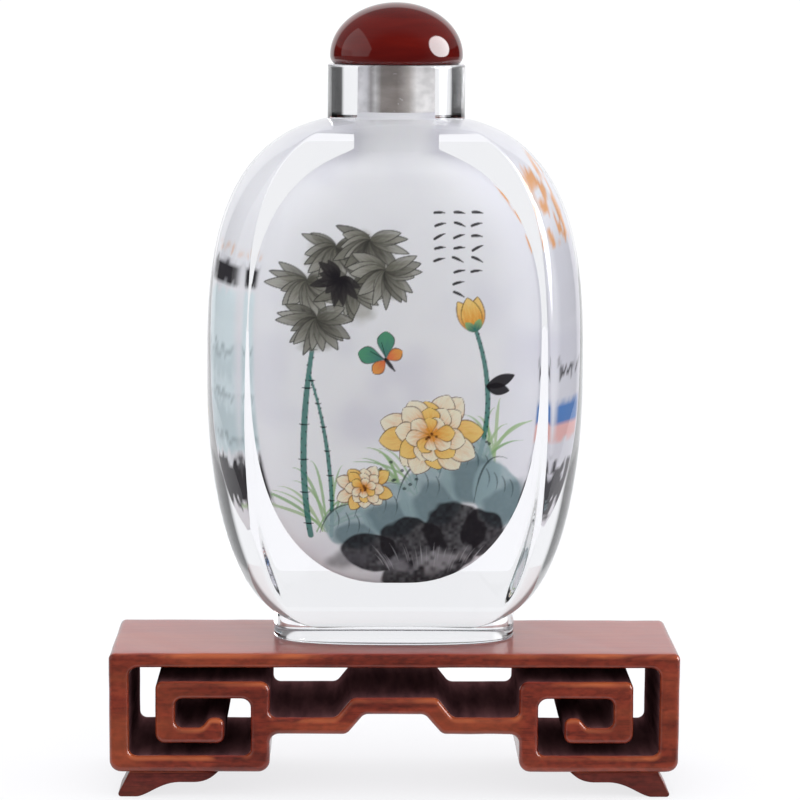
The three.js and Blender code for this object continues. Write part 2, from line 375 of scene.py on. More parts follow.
def make_ground_mouth():
    """The mouth's ground face, which the dome stands on, as a thin closed ring just inside the glass."""
    high, low = MOUTH_HEIGHT + GLASS_LIFT - COAT / 2, MOUTH_HEIGHT + GLASS_LIFT - COAT * 1.5
    outer, inner = NECK_RADIUS - GROUND_EDGE, BORE_RADIUS + COAT
    profile = [(outer, low), (outer, high), (inner, high), (inner, low), (outer, low)]
    ring = loft("ground_mouth", circles(profile, 160), bottle_foot, capped=False)
    store_paint(ring, np.tile(FROST, (len(ring.data.vertices), 1)))
    sharpen(ring, 40)
    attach(ring, "root")
    return ring


# ---- Stopper ----

def make_dome():
    mouth = bottle_foot + Vector((0, 0, MOUTH_HEIGHT * MM))
    low = np.linspace(0, math.pi / 2, 12)
    high = np.linspace(0, math.pi / 2, 44)[1:]
    profile = [(0, 0)]
    profile += [(DOME_SEAT_RADIUS + (DOME_RADIUS - DOME_SEAT_RADIUS) * math.sin(a),
                 DOME_SHOULDER * (1 - math.cos(a))) for a in low]
    profile += [(DOME_RADIUS * math.cos(a), DOME_SHOULDER + DOME_RISE * math.sin(a)) for a in high]
    profile[-1] = (0, DOME_SHOULDER + DOME_RISE)
    dome = lathe("dome_polished", profile, mouth)
    sharpen(dome, 50)
    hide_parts("stopper_dome")
    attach(dome, "root")
    return dome


def make_plug():
    """The plug fills the bore and wets its wall, so the neck magnifies it."""
    radius = BORE_RADIUS + COAT / 2
    low, high = PLUG_BOTTOM, MOUTH_HEIGHT - MOUTH_GAP
    chamfer = PLUG_EDGE * 0.3
    profile = [(0, low), (radius - PLUG_EDGE, low), (radius - chamfer, low + chamfer),
               (radius, low + PLUG_EDGE), (radius, high), (0, high)]
    plug = lathe("plug_paste", profile, bottle_foot, steps=96)
    sharpen(plug, 50)
    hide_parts("stopper_plug")
    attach(plug, "root")
    return plug


# ---- Painting on the hollow's wall ----

def soft_noise(x, z, cell, seed):
    """Smooth noise between 0 and 1, with features of about cell millimetres."""
    grid = np.random.default_rng(seed).random((64, 64))
    u, v = np.asarray(x) / cell + 32, np.asarray(z) / cell + 32
    i, j = np.floor(u).astype(int), np.floor(v).astype(int)
    s, t = smoothstep(u - i, 0, 1), smoothstep(v - j, 0, 1)
    low = mix(grid[i % 64, j % 64], grid[(i + 1) % 64, j % 64], s)
    high = mix(grid[i % 64, (j + 1) % 64], grid[(i + 1) % 64, (j + 1) % 64], s)
    return mix(low, high, t)


def bezier(route, count):
    """Points along a Bezier curve through its first and last control points."""
    points = np.repeat(np.array(route, float)[None], count, axis=0)
    t = np.linspace(0, 1, count)[:, None, None]
    while points.shape[1] > 1:
        points = mix(points[:, :-1], points[:, 1:], t)
    return points[:, 0]


def away(start, distance, degrees):
    """The point at a distance from a start, in a direction."""
    angle = math.radians(degrees)
    return start[0] + distance * math.cos(angle), start[1] + distance * math.sin(angle)


class Picture:
    """Colours at the points (x, z) of a wall, in millimetres, laid on coat over coat."""

    def __init__(self, x, z, ground):
        self.x, self.z = np.asarray(x, float), np.asarray(z, float)
        self.colour = np.array(ground, float)

    def near(self, points, margin):
        low, high = np.min(points, axis=0) - margin, np.max(points, axis=0) + margin
        inside = (self.x > low[0]) & (self.x < high[0]) & (self.z > low[1]) & (self.z < high[1])
        return np.flatnonzero(inside)

    def coat(self, where, colour, cover):
        self.colour[where] = mix(self.colour[where], colour, cover[:, None])

    def turned(self, where, centre, angle):
        dx, dz = self.x[where] - centre[0], self.z[where] - centre[1]
        cos, sin = math.cos(math.radians(angle)), math.sin(math.radians(angle))
        return dx * cos + dz * sin, dz * cos - dx * sin

    def wash(self, centre, radii, colour, strength=1.0, soft=0.5, ragged=0.15, angle=0, seed=1, cell=1.6):
        """An oval pool of thin colour with an uneven rim."""
        where = self.near([centre], max(radii) * 1.4)
        u, v = self.turned(where, centre, angle)
        uneven = soft_noise(self.x[where], self.z[where], cell, seed) - 0.5
        grain = soft_noise(self.x[where], self.z[where], 0.45, seed + 1)
        distance = np.hypot(u / radii[0], v / radii[1]) + 2 * ragged * uneven
        cover = strength * (1 - smoothstep(distance, 1 - soft, 1)) * (0.9 + 0.1 * grain)
        self.coat(where, colour, cover)

    def stroke(self, route, width, colour, strength=0.95, start=0.3, end=0.15, soft=0.1, count=14):
        """A brush stroke: full width in the middle, and start and end shares of it at its ends."""
        line = bezier(route, count)
        where = self.near(line, width + soft)
        t = np.linspace(0, 1, count)
        half = width / 2 * mix(start, 1, smoothstep(t, 0, 0.35)) * mix(1, end, smoothstep(t, 0.45, 1))
        point = np.stack([self.x[where], self.z[where]], axis=-1)[:, None]
        a, step = line[:-1], np.diff(line, axis=0)
        along = np.sum((point - a) * step, axis=-1) / np.maximum(1e-9, np.sum(step * step, axis=-1))
        along = np.clip(along, 0, 1)
        apart = np.linalg.norm(point - (a + step * along[..., None]), axis=-1)
        edge = np.min(apart - mix(half[:-1], half[1:], along), axis=1)
        self.coat(where, colour, strength * (1 - smoothstep(edge, -soft / 2, soft / 2)))

    def petal(self, base, length, width, angle, near, far, line=None, fullest=0.6, curl=0.0, strength=0.95):
        """A petal or leaf from its base outwards, shading from near to far, with a thin outline."""
        where = self.near([base, away(base, length, angle)], width + abs(curl) * length + 0.3)
        u, v = self.turned(where, base, angle)
        u = u / length
        v = v - curl * length * u * u
        power = math.log(0.5) / math.log(fullest)
        half = width / 2 * np.sin(math.pi * np.clip(u, 0.001, 0.999) ** power) ** 0.75
        side = np.abs(v) - half
        within = smoothstep(u, -0.02, 0.02) * (1 - smoothstep(u, 0.98, 1.02))
        streak = soft_noise(v * 3, u * length * 0.6, 0.5, 11) - 0.5
        shade = smoothstep(u + 0.35 * streak, 0.05, 0.95)[:, None]
        cover = strength * within * (1 - smoothstep(side, -0.1, 0.04))
        self.coat(where, mix(near, far, shade), cover)
        if line is not None:
            outline = within * (1 - smoothstep(np.abs(side + 0.04), 0.05, 0.13))
            self.coat(where, line, 0.8 * outline * (0.45 + 0.55 * smoothstep(u, 0.2, 0.9)))


INK = (0.016, 0.013, 0.017)
GREY_INK = (0.10, 0.095, 0.11)
TEAL_GREY = (0.16, 0.235, 0.26)
PALE_TEAL = (0.33, 0.45, 0.48)
TEAL = (0.035, 0.20, 0.17)
BROWN_LINE = (0.13, 0.035, 0.012)
ORANGE = (0.85, 0.34, 0.05)
YELLOW = (0.97, 0.66, 0.20)
CREAM = (0.97, 0.90, 0.70)
BLADE_GREEN = (0.26, 0.46, 0.20)
PALE_GREEN = (0.48, 0.62, 0.36)
OLIVE_GREY = (0.17, 0.165, 0.13)
PALE_OLIVE = (0.42, 0.41, 0.36)
FROST = (0.95, 0.95, 0.97)
SHADOW_FROST = (0.71, 0.70, 0.80)


def paint_ground(x, z):
    """The bare frost, a little cloudy, and greyer where it turns to the sides, most on the right side: painted
    shade of the curving wall.
    """
    cloud = soft_noise(x, z, 9.0, 5)[:, None] * 0.6 + soft_noise(x, z, 3.5, 6)[:, None] * 0.4
    share = np.abs(x) / np.maximum(1e-6, hollow_size_at(z)[0])
    # painted shade where the wall curves away: strong on the right side, faint on the left
    turned = smoothstep(share, 0.55, 0.98) * np.where(np.asarray(x) > 0, 0.35, 0.1)
    shade = smoothstep(cloud, 0.45, 0.95) * 0.35 + turned[:, None]
    return mix(FROST, SHADOW_FROST, shade)


def paint_rocks(picture):
    """A bank of wet rocks that climbs to the right: teal-grey crags behind, dark boulders before them."""
    crags = [(-6.5, 18.5, 4.6, 3.4), (-1.0, 21.0, 5.0, 4.2), (5.2, 23.5, 5.0, 5.2), (11.0, 27.0, 4.6, 5.6),
             (15.2, 23.0, 3.6, 6.0)]
    for i, (x, z, wide, high) in enumerate(crags):
        picture.wash((x, z), (wide, high), PALE_TEAL, 0.9, 0.16, 0.12, 10 * i - 20, 21 + i, 1.8)
        shade = (wide * 0.85, high * 0.8)
        picture.wash((x + 0.7, z - 1.4), shade, TEAL_GREY, 0.85, 0.35, 0.18, -9 * i, 31 + i)
        ridge = [(x - wide, z - 1), (x - wide * 0.7, z + high * 1.25), (x + wide * 0.35, z + high * 0.95)]
        picture.stroke(ridge, 0.3, (0.05, 0.075, 0.08), 0.8, 0.3, 0.25)
        for k in range(4):
            left, top = x - wide * 0.5 + k * wide * 0.33, z + high * (0.7 - 0.1 * k)
            crack = [(left, top), (left + 0.9, top - 1.3), (left + 0.1, top - 3.0)]
            picture.stroke(crack, 0.2, (0.06, 0.085, 0.09), 0.7, 0.7, 0.1)
    boulders = [(-3.5, 14.6, 4.6, 3.0), (2.6, 15.8, 5.2, 4.2), (8.6, 17.6, 4.8, 5.0), (13.0, 17.2, 3.4, 4.2),
                (4.6, 11.8, 7.6, 2.4)]
    for i, (x, z, wide, high) in enumerate(boulders):
        picture.wash((x, z), (wide, high), INK, 0.98, 0.12, 0.10, 7 * i - 12, 51 + i, 1.5)
    picture.wash((-6.5, 13.4), (5.4, 2.2), GREY_INK, 0.7, 0.7, 0.2, 12, 60)
    picture.wash((7.0, 13.4), (5.4, 2.2), (0.42, 0.41, 0.43), 0.75, 0.8, 0.35, 14, 61, 0.8)
    picture.wash((0.5, 12.6), (3.6, 1.6), (0.36, 0.35, 0.38), 0.6, 0.9, 0.35, -10, 62, 0.8)
    draw = np.random.default_rng(3).uniform
    for _ in range(30):
        x, z = draw(-2, 12), draw(11.2, 13.8)
        reach = draw(1.2, 3.4)
        lean = (x - 5) * 0.22 * reach / 2
        blade = [(x, z), (x + lean * 0.3, z + reach / 2), (x + lean, z + reach)]
        picture.stroke(blade, 0.15, (0.5, 0.49, 0.51), draw(0.2, 0.6), 0.4, 0.1)
    for x, z in zip(draw(-8, 15, 26), draw(0, 1, 26)):
        picture.wash((x, 20.5 + 0.48 * (x + 6.5) + 5 * z), (0.32, 0.26), (0.03, 0.05, 0.05), 0.85, 0.3, 0.1)


def paint_specks(picture, line, out):
    """Dark specks on a stem's two sides in turn."""
    for k, (x, z) in enumerate(line[1:-1]):
        picture.wash((x + (out if k % 2 else -out), z), (0.15, 0.2), INK, 0.9, 0.5, 0)


def paint_bamboo(picture):
    """Jointed teal stems at the left, under hanging fans of grey and olive leaves."""
    stems = [([(-12.5, 17), (-15.2, 32), (-11.0, 52)], 0.95), ([(-9.4, 17), (-9.0, 30), (-12.6, 41)], 0.6)]
    for route, width in stems:
        line = bezier(route, 34)
        out = width * 0.75
        picture.stroke(route, width, TEAL, 0.9, 0.9, 0.6, 0.12, 24)
        for x, z in line[2::5]:
            joint = [(x - out, z + 0.05), (x, z - 0.12), (x + out, z + 0.05)]
            picture.stroke(joint, 0.22, INK, 0.9, 0.6, 0.5)
        paint_specks(picture, line, width * 0.36)
    draw = np.random.default_rng(17).uniform
    fans = [(-13.0, 55.0, 4.6), (-8.8, 60.0, 4.8), (-3.8, 61.0, 4.4), (-6.5, 54.5, 4.8), (-11.6, 49.5, 3.8),
            (-1.6, 56.6, 3.4)]
    for x, z, spread in fans:
        tilt = draw(-20, 20)
        picture.wash((x, z - 2.2), (spread, spread * 0.8), PALE_OLIVE, 0.75, 0.4, 0.2, tilt, 71)
        for k in range(15):
            angle = -90 + 230 * (k / 14 - 0.5) + draw(-8, 8)
            tone = draw(0, 1) ** 1.5
            near = mix(OLIVE_GREY, INK, 0.9 * tone)
            far = mix(PALE_OLIVE, OLIVE_GREY, tone)
            picture.petal((x, z), draw(4.2, 6.4), draw(1.5, 2.2), angle, near, far, (0.05, 0.048, 0.045), 0.42,
                          draw(-0.12, 0.12), 0.9)
    for k in range(9):
        picture.petal((-8.4, 55.5), draw(3.0, 4.8), 1.6, -20 - 28 * k, INK, (0.05, 0.045, 0.045), None, 0.42,
                      draw(-0.1, 0.1), 0.95)


def paint_blossom(picture, centre, size, petals, tilt):
    """An open blossom in three rounds of petals, with pale tips and orange bases."""
    draw = np.random.default_rng(int(size * 100)).uniform
    for level, (reach, count) in enumerate([(1.0, petals), (0.76, petals - 2), (0.48, petals - 4)]):
        for k in range(count):
            angle = tilt + 360 * (k + 0.5 * level) / count + draw(-8, 8)
            flatten = 0.70 + 0.30 * abs(math.cos(math.radians(angle)))
            length = size * reach * flatten * draw(0.9, 1.1)
            tip = CREAM if (k + level) % 3 else YELLOW
            width = size * 0.50 * reach ** 0.5
            picture.petal(centre, length, width, angle, ORANGE, tip, BROWN_LINE, 0.66, draw(-0.08, 0.08))
    for k in range(14):
        angle, reach = draw(0, 2 * math.pi), draw(0.0, 0.15) * size
        x, z = centre[0] + reach * math.cos(angle), centre[1] + reach * math.sin(angle)
        picture.wash((x, z), (0.28, 0.28), BROWN_LINE if k % 2 else ORANGE, 0.9, 0.5, 0)


def paint_bud(picture, base, size, angle):
    for turn, width in [(-17, 0.5), (17, 0.5), (0, 0.6)]:
        picture.petal(base, size, size * width, angle + turn, ORANGE, YELLOW, BROWN_LINE, 0.45)
    for turn in (-34, 34):
        picture.petal(base, size * 0.4, size * 0.24, angle + turn, TEAL, BLADE_GREEN, None, 0.5)


def paint_blades(picture, root, count, first, last, low, high, seed):
    """A tuft of thin blades that rise from a root and arch over."""
    draw = np.random.default_rng(seed).uniform
    for k in range(count):
        angle = math.radians(mix(first, last, (k + draw(0, 0.6)) / count))
        reach = draw(low, high)
        x, z = root[0] + draw(-1.5, 1.5), root[1] + draw(-0.6, 0.6)
        side, up = math.cos(angle), math.sin(angle)
        middle = (x + reach * 0.42 * side, z + reach * 0.75 * up)
        tip = (x + reach * 1.05 * side, z + reach * (0.9 * up - 0.14))
        tone = mix(BLADE_GREEN, PALE_GREEN, draw(0, 1))
        picture.stroke([(x, z), middle, tip], draw(0.3, 0.5), tone, 0.85, 0.7, 0.12, 0.1)


def paint_butterfly(picture, centre, size, angle):
    for side in (1, -1):
        picture.petal(centre, size, size * 0.62, angle + side * 38, TEAL, (0.06, 0.32, 0.16), INK, 0.66)
        hind = angle + side * 100
        picture.petal(centre, size * 0.66, size * 0.46, hind, (0.80, 0.16, 0.04), ORANGE, INK, 0.6)
    picture.stroke([centre, away(centre, size * 0.5, angle + 180)], 0.6, INK, 0.95, 0.9, 0.4)
    for side in (24, -24):
        picture.stroke([centre, away(centre, size * 0.62, angle + side)], 0.13, INK, 0.85, 0.8, 0.8)


def paint_dabs(picture, left, top, columns):
    """Columns of short plain dabs, where a painter would leave an inscription."""
    draw = np.random.default_rng(29).uniform
    for column, rows in enumerate(columns):
        for row in range(rows):
            x, z = left + column * 2.7 + draw(-0.15, 0.15), top - row * 1.7
            lean = draw(-0.4, 0.4)
            dab = [(x - 0.75, z + lean), (x, z + 0.15), (x + 0.75, z - lean)]
            picture.stroke(dab, 0.42, INK, 0.95, 0.9, 0.35, count=6)


def paint_front(picture):
    picture.wash((1, 41), (9, 6), SHADOW_FROST, 0.55, 0.95, 0.2, 20, 81, 3)
    picture.wash((-5, 34), (7, 5), SHADOW_FROST, 0.6, 0.95, 0.2, -15, 82, 3)
    picture.wash((13, 52), (6, 7), SHADOW_FROST, 0.35, 0.95, 0.2, 0, 83, 3)
    paint_blades(picture, (-10.5, 18.0), 15, 158, 20, 8, 16, 91)
    paint_blades(picture, (13.5, 28.5), 12, 150, 30, 7, 13, 92)
    paint_blades(picture, (2.0, 24.0), 10, 160, 100, 6, 13, 93)
    paint_bamboo(picture)
    for route in [[(12.0, 28), (15.2, 38), (11.6, 48.0)], [(6.5, 27), (7.0, 30), (7.6, 33)]]:
        picture.stroke(route, 0.75, TEAL, 0.9, 0.9, 0.8, 0.12, 20)
        paint_specks(picture, bezier(route, 30), 0.26)
    for length, angle in [(4.6, 18), (3.6, -14)]:
        picture.petal((13.2, 39.5), length, 1.9, angle, INK, INK, None, 0.5, 0.05, 0.97)
    paint_rocks(picture)
    paint_blossom(picture, (5.2, 32.4), 7.4, 12, 10)
    paint_blossom(picture, (-4.6, 24.4), 4.2, 10, 25)
    paint_bud(picture, (11.6, 47.6), 5.2, 104)
    paint_butterfly(picture, (-1.5, 43.5), 4.2, 128)
    paint_dabs(picture, 6.4, 65.0, (5, 8, 6))


def paint_back(picture):
    picture.wash((3, 45), (10, 8), SHADOW_FROST, 0.5, 0.95, 0.2, 0, 85, 3)
    picture.wash((-2, 13.5), (15, 6), GREY_INK, 0.6, 0.5, 0.15, 0, 42, 2.5)
    picture.wash((-9, 19), (8, 5), PALE_TEAL, 0.7, 0.5, 0.2, 0, 43)
    picture.wash((9, 17), (7, 4.5), TEAL_GREY, 0.7, 0.5, 0.2, 0, 44)
    paint_blades(picture, (4, 20), 15, 150, 25, 10, 19, 94)
    picture.stroke([(2.6, 20), (4.2, 31), (6.5, 40)], 0.6, TEAL, 0.85, 0.9, 0.8)
    paint_bud(picture, (6.5, 40), 4.6, 96)
    paint_blossom(picture, (-6.5, 33), 5.4, 12, 0)


def paint_sides(x, y, z, colour):
    """Broad washes round the hollow's two sides, which the thick side walls pull into bands."""
    share = np.abs(x) / np.maximum(1e-6, hollow_size_at(z)[0])
    ragged = soft_noise(y * 2, z, 1.6, 7) - 0.5
    left = smoothstep(share, 0.955, 0.99) * (x < 0)
    right = smoothstep(share, 0.972, 0.992) * (x > 0)
    bands = [  # from and to a height, colour, strength, side, softness and raggedness of the edges
        (29, 52.5, (0.80, 0.93, 0.96), 0.85, left, 0.3, 1.2),
        (29, 36, PALE_TEAL, 0.35, left, 1.5, 4),
        (40, 44, PALE_TEAL, 0.25, left, 1.5, 4),
        (53.5, 56.5, INK, 0.97, left, 0.3, 0.8),
        *((low, low + 0.7, TEAL_GREY, 0.45, left, 0.3, 2.5) for low in (31, 37, 44)),
        (21.5, 28, INK, 0.97, left, 0.4, 3),
        (58, 58.5, ORANGE, 0.5, left, 0.3, 1.2),
        (24, 60, (0.5, 0.5, 0.56), 0.4, right, 2, 1.2),
        (21, 27, INK, 0.9, right, 0.3, 5),
        (31, 33.5, (0.85, 0.42, 0.38), 0.8, right, 0.3, 1.0),
        (33.5, 36.5, (0.03, 0.18, 0.52), 0.9, right, 0.2, 0.3),
        (41, 42.2, INK, 0.9, right, 0.3, 3),
        (60, 69, ORANGE, 0.8, right * smoothstep(ragged, 0.0, 0.15), 0.6, 3),
    ]
    for low, high, tint, amount, side, soft, rough in bands:
        edge = z + rough * ragged
        inside = smoothstep(edge, low - soft, low + soft) * (1 - smoothstep(edge, high - soft, high + soft))
        colour = mix(colour, tint, (amount * inside * side)[:, None])
    return colour


def wall_colour(x, y, z):
    """The colour of the hollow's wall at points in millimetres over the bottle's foot."""
    colour = paint_ground(x, z)
    for side, paint in ((y < 0, paint_front), (y >= 0, paint_back)):
        picture = Picture(x[side], z[side], colour[side])
        paint(picture)
        colour[side] = picture.colour
    return paint_sides(x, y, z, colour)


def store(piece, name, values, kind="FLOAT", field="value"):
    """Keeps one value a vertex, for the materials to read."""
    attribute = piece.data.attributes.new(name, kind, "POINT")
    attribute.data.foreach_set(field, np.array(values, float).ravel())


def store_paint(piece, colour):
    """Keeps each vertex's paint, in linear light."""
    opaque = np.ones((len(colour), 1))
    store(piece, "paint", np.hstack([np.clip(colour, 0, 1), opaque]), "FLOAT_COLOR", "color")


def make_painting(name, front, low, high):
    """Painted wall between two shares of the hollow's half width, dense enough for brush lines."""
    heights = np.concatenate([
        np.linspace(HOLLOW_BOTTOM + 0.12, HOLLOW_BOTTOM + 1.2, 16)[:-1],
        np.linspace(HOLLOW_BOTTOM + 1.2, PAINT_TOP, PAINT_ROWS),
    ])
    shares = np.linspace(low, high, PAINT_COLUMNS)
    out = COAT + PAINT_PROUD
    x = np.array([shares * (hollow_size_at(z)[0] + out) for z in heights])
    y = np.array([hollow_wall_at(row, z, out) for row, z in zip(x, heights)])
    z = np.repeat((heights + coat_lift_at(heights, out))[:, None], PAINT_COLUMNS, axis=1)
    places = np.stack([x, -y if front else y, z], axis=-1).reshape(-1, 3)
    faces = grid_faces(len(heights), PAINT_COLUMNS, closed=False)
    piece = new_object(name, places, faces if front else faces[:, ::-1], bottle_foot)
    store_paint(piece, wall_colour(*places.T))
    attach(piece, "root")
    return piece


# ---- Stand ----

def rounded_outline(corners, spacing=1.2):
    """A closed outline through corners (x, z, radius): arcs at the corners, points along the runs."""
    count = len(corners)
    arcs = []
    for i in range(count):
        here = Vector(corners[i][:2])
        back = (Vector(corners[i - 1][:2]) - here).normalized()
        ahead = (Vector(corners[(i + 1) % count][:2]) - here).normalized()
        half = back.angle(ahead) / 2
        radius = corners[i][2]
        centre = here + (back + ahead).normalized() * radius / math.sin(half)
        enter = here + back * radius / math.tan(half) - centre
        turn = (math.pi - 2 * half) * (1 if ahead.cross(back) > 0 else -1)
        turns = [turn * k / CORNER_STEPS for k in range(CORNER_STEPS + 1)]
        arcs.append([centre + Matrix.Rotation(angle, 2) @ enter for angle in turns])
    outline = []
    for arc, following in zip(arcs, arcs[1:] + arcs[:1]):
        outline += arc
        run = following[0] - arc[-1]
        steps = max(1, round(run.length / spacing))
        outline += [arc[-1] + run * k / steps for k in range(1, steps)]
    return np.array([tuple(p) for p in outline])


def mirrored(half):
    return half + [(-x, z, radius) for x, z, radius in reversed(half)]


def turned_left(outline, wanted=True):
    """The outline, wound to the left (or to the right)."""
    x, z = outline.T
    area = np.sum(x * np.roll(z, -1) - np.roll(x, -1) * z)
    return outline if (area > 0) == wanted else outline[::-1]


def moved_in(outline, distance):
    """Shifts every point to the left of the way round, so that each side moves by the distance."""
    ahead = np.roll(outline, -1, axis=0) - outline
    ahead /= np.linalg.norm(ahead, axis=1)[:, None]
    behind = np.roll(ahead, 1, axis=0)
    left_ahead, left_behind = ahead @ [[0, 1], [-1, 0]], behind @ [[0, 1], [-1, 0]]
    bisector = left_ahead + left_behind
    bisector /= np.linalg.norm(bisector, axis=1)[:, None]
    return outline + bisector * (distance / np.sum(bisector * left_ahead, axis=1))[:, None]


def carve_through(name, outlines, half_depth, edge, inner_rings, origin, waviness):
    """Carries outlines in X and Z through a depth, with edges rounded over at the front and the back.

    Each vertex keeps how far it belongs to a rubbed edge that faces up, whose orange is also a painted
    highlight. Faces deep inside the openings and facing down under the arches take the second material, which
    is painted shade.
    """
    turn = np.linspace(0, math.pi / 2, EDGE_STEPS + 1)
    front = [(edge + HOLDING, -half_depth, 0.0)]
    for a in turn:
        front.append((edge * (1 - math.sin(a)), -half_depth + edge * (1 - math.cos(a)), math.sin(2 * a)))
    walls = [(0.0, y, 0.0) for y in np.linspace(-half_depth + edge, half_depth - edge, inner_rings + 2)[1:-1]]
    back = [(inset, -y, edge_rub_and_highlight) for inset, y, edge_rub_and_highlight in front[::-1]]
    rings = front + walls + back
    vertices, faces, edge_rub_and_highlight, deep = [], [], [], []
    front_loops, back_loops = [], []
    for outline in outlines:
        start, count = len(vertices), len(outline)
        normals = normals_of(outline)
        # under the arches, faces that look down get the painted shade too
        facing_down = smoothstep(-normals[:, 1], 0.3, 0.8)
        enclosed = facing_down if outline is outlines[0] else np.ones(count)
        for inset, y, rubbing_and_highlight in rings:
            moved = moved_in(outline, inset)
            uneven = waviness * (soft_noise(moved[:, 0] + y * 0.7, moved[:, 1], 3.0, 15) - 0.5)
            vertices += [(x, y, z) for x, z in moved + normals * uneven[:, None]]
            # orange rubbing on rounded edges that face up, which is also a painted highlight of the light from
            # above
            edge_rub_and_highlight += list(rubbing_and_highlight * smoothstep(normals[:, 1], 0.2, 0.9))
            deep += list(enclosed * smoothstep(half_depth - abs(y), 0.2, 3.0))
        faces += list(grid_faces(len(rings), count, closed=True) + start)
        front_loops.append(range(start, start + count))
        back_loops.append(range(len(vertices) - count, len(vertices)))
    for loops in (front_loops, back_loops):
        order = [i for loop in loops for i in loop]
        flat = [[Vector((vertices[i][0], vertices[i][2], 0)) for i in loop] for loop in loops]
        faces += [tuple(order[k] for k in triangle) for triangle in tessellate_polygon(flat)]
    piece = new_object(name, np.array(vertices), faces, origin)
    form = bmesh.new()
    form.from_mesh(piece.data)
    bmesh.ops.recalc_face_normals(form, faces=form.faces)
    form.to_mesh(piece.data)
    form.free()
    store(piece, "edge_rub_and_highlight", edge_rub_and_highlight)
    sharpen(piece, 40)
    inside = np.array(deep)
    # faces deep inside take the second material, painted shade
    piece.data.polygons.foreach_set("material_index", [
        int(inside[list(face.vertices)].mean() > 0.45) for face in piece.data.polygons
    ])
    return piece


def normals_of(outline):
    """Unit normals out of the material, to the right of the way round."""
    ahead = np.roll(outline, -1, axis=0) - np.roll(outline, 1, axis=0)
    ahead /= np.linalg.norm(ahead, axis=1)[:, None]
    return ahead @ [[0, -1], [1, 0]]


def make_fret():
    end, height = FRET_HALF_WIDTH, FRET_HEIGHT
    wide, soft, tight, crisp = 1.7, 1.4, 1.1, 0.95  # corner radii
    outside = mirrored([
        (end, height, crisp), (end, 0, wide), (18.5, 0, wide), (18.5, 5.75, soft), (7.1, 5.75, soft),
        (4.5, 8.75, soft),
    ])
    opening = mirrored([
        (39.3, 15.8, soft), (39.3, 2.45, tight), (21.3, 2.45, tight), (21.3, 11.1, soft), (32.5, 11.1, tight),
        (32.5, 6.7, tight), (28.6, 6.7, tight), (27.4, 8.2, tight), (25.2, 8.2, tight), (25.2, 4.35, tight),
        (35.4, 4.35, soft), (35.4, 13.7, tight), (18.5, 13.7, soft), (18.5, 8.25, tight), (8.7, 8.25, soft),
        (6.3, 11.25, soft),
    ])
    outlines = [turned_left(rounded_outline(outside)), turned_left(rounded_outline(opening), False)]
    fret = carve_through("stand_fret", outlines, FRET_HALF_DEPTH, FRET_EDGE, 14, stand_middle, 0.07)
    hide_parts("stand")
    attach(fret, "root")
    return fret


def make_foot(node):
    """One bracket foot: an ogee under the scroll that flares to a toe at the outer end."""
    low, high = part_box(node)
    middle = Vector((0, (low.y + high.y) / 2, low.z))
    half_depth = (high.y - low.y) / 2 / MM
    sides = [
        ([(39.3, FOOT_HEIGHT), (41, 0.5)], 8), ([(41, 0.5), (41, 0), (40.5, 0)], 8),
        ([(40.5, 0), (38.2, 0)], 4), ([(38.2, 0), (36.4, 0.3), (34.8, 2.1), (32, 2.2)], 14),
        ([(32, 2.2), (29.6, 2.2)], 4),
        ([(29.6, 2.2), (27.8, 2.3), (27, 3), (26.1, FOOT_HEIGHT)], 12),
        ([(26.1, FOOT_HEIGHT), (39.3, FOOT_HEIGHT)], 14),
    ]
    outline = np.concatenate([bezier(route, count)[:-1] for route, count in sides])
    if low.x < 0:
        outline = outline * [-1, 1]
    foot = carve_through(node + "_carved", [turned_left(outline)], half_depth, FOOT_EDGE, 6, middle, 0.0)
    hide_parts(node)
    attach(foot, "root")
    return foot


# ---- Camera, floor and light ----

def make_camera():
    """Eye height, distance and aim over the stand's top, for a 135 mm lens."""
    data = bpy.data.cameras.new("camera")
    data.sensor_width = 36
    data.lens = 135
    data.dof.use_dof = False
    camera = bpy.data.objects.new("camera", data)
    front = stand_middle.y - FRET_HALF_DEPTH * MM
    camera.location = (stand_middle.x - 0.0061, front - 0.4328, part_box("stand")[1].z + 0.0997)
    camera.rotation_euler = (math.radians(90 - 8.12), math.radians(-0.29), math.radians(-0.84))
    bpy.context.scene.collection.objects.link(camera)
    bpy.context.scene.camera = camera


def set_inputs(node, inputs):
    """Fills inputs by name or number: a socket is linked, and a plain value is set on the input itself."""
    for name, value in inputs.items():
        target = node.inputs[name]
        if isinstance(value, bpy.types.NodeSocket):
            node.id_data.links.new(value, target)
        elif isinstance(value, tuple) and len(value) < len(target.default_value):
            target.default_value = (*value, 1)
        else:
            target.default_value = value


def add_node(tree, kind, inputs=(), **settings):
    node = tree.nodes.new("ShaderNode" + kind)
    for name, value in settings.items():
        setattr(node, name, value)
    set_inputs(node, dict(inputs))
    return node


